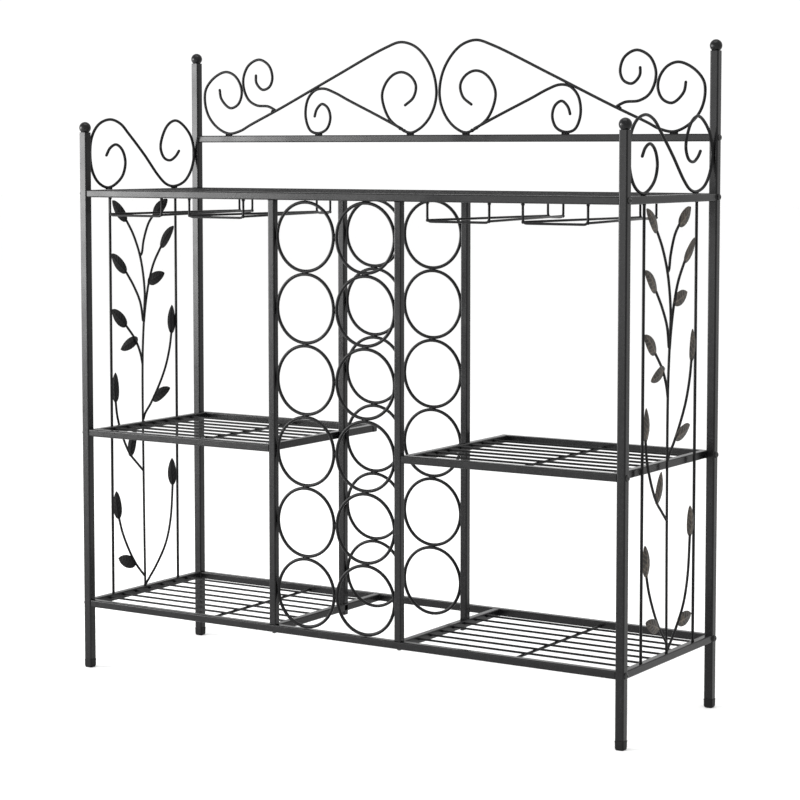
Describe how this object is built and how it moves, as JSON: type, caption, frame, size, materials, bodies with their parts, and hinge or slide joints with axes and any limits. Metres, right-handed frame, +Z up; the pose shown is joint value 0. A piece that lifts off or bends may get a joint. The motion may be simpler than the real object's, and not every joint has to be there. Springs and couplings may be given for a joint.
{
  "type": "wine rack",
  "caption": "Free-standing black steel wine rack with a ring bottle tower, wire shelves, stemware loops, vine side panels and a scrolled back crest.",
  "frame": {"origin": "on the floor at the middle of the footprint", "axes": "+X along the width to the right, +Y towards the back, where the crest is, +Z up"},
  "size_m": [1.0206, 0.3236, 1.0515],
  "materials": {
    "tube_paint": "satin black powder coat on square steel tube",
    "wire_paint": "semi-gloss black powder coat on round steel wire",
    "vine_finish": "black powder coat with brushed bronze highlights on the stamped leaves",
    "foot_plastic": "matte black moulded end caps",
    "bolt_finish": "black-coated button-head bolts"
  },
  "bodies": {
    "root": {"post_front_left": "tube_paint", "foot_front_left": "foot_plastic", "finial_front_left": "tube_paint", "bolt_bottom_front_left": "bolt_finish", "bolt_shelf_front_left": "bolt_finish", "bolt_top_front_left": "bolt_finish", "post_front_right": "tube_paint", "foot_front_right": "foot_plastic", "finial_front_right": "tube_paint", "bolt_bottom_front_right": "bolt_finish", "bolt_shelf_front_right": "bolt_finish", "bolt_top_front_right": "bolt_finish", "post_back_left": "tube_paint", "foot_back_left": "foot_plastic", "finial_back_left": "tube_paint", "bolt_bottom_back_left": "bolt_finish", "bolt_shelf_back_left": "bolt_finish", "bolt_top_back_left": "bolt_finish", "bolt_crest_back_left": "bolt_finish", "post_back_right": "tube_paint", "foot_back_right": "foot_plastic", "finial_back_right": "tube_paint", "bolt_bottom_back_right": "bolt_finish", "bolt_shelf_back_right": "bolt_finish", "bolt_top_back_right": "bolt_finish", "bolt_crest_back_right": "bolt_finish", "side_rail_bottom_left": "tube_paint", "side_rail_top_left": "tube_paint", "side_rail_bottom_right": "tube_paint", "side_rail_top_right": "tube_paint", "bottom_frame": "tube_paint", "top_frame": "tube_paint", "shelf_frame_left": "tube_paint", "shelf_frame_right": "tube_paint", "deck_bottom_left": "wire_paint", "deck_bottom_right": "wire_paint", "deck_shelf_left": "wire_paint", "deck_shelf_right": "wire_paint", "deck_top": "wire_paint", "tower_post_front_left": "tube_paint", "tower_post_rear_left": "tube_paint", "tower_post_front_right": "tube_paint", "tower_post_rear_right": "tube_paint", "rings_front_left": "wire_paint", "rings_front_right": "wire_paint", "rings_rear_left": "wire_paint", "rings_rear_right": "wire_paint", "stem_loop_left_outer": "wire_paint", "stem_loop_left_inner": "wire_paint", "stem_loop_right_inner": "wire_paint", "stem_loop_right_outer": "wire_paint", "side_scroll_left": "wire_paint", "side_scroll_right": "wire_paint", "crest_rail": "tube_paint", "crest_scroll_left": "wire_paint", "crest_scroll_right": "wire_paint", "vine_panel_left": "vine_finish", "vine_panel_right": "vine_finish"}
  },
  "joints": []
}
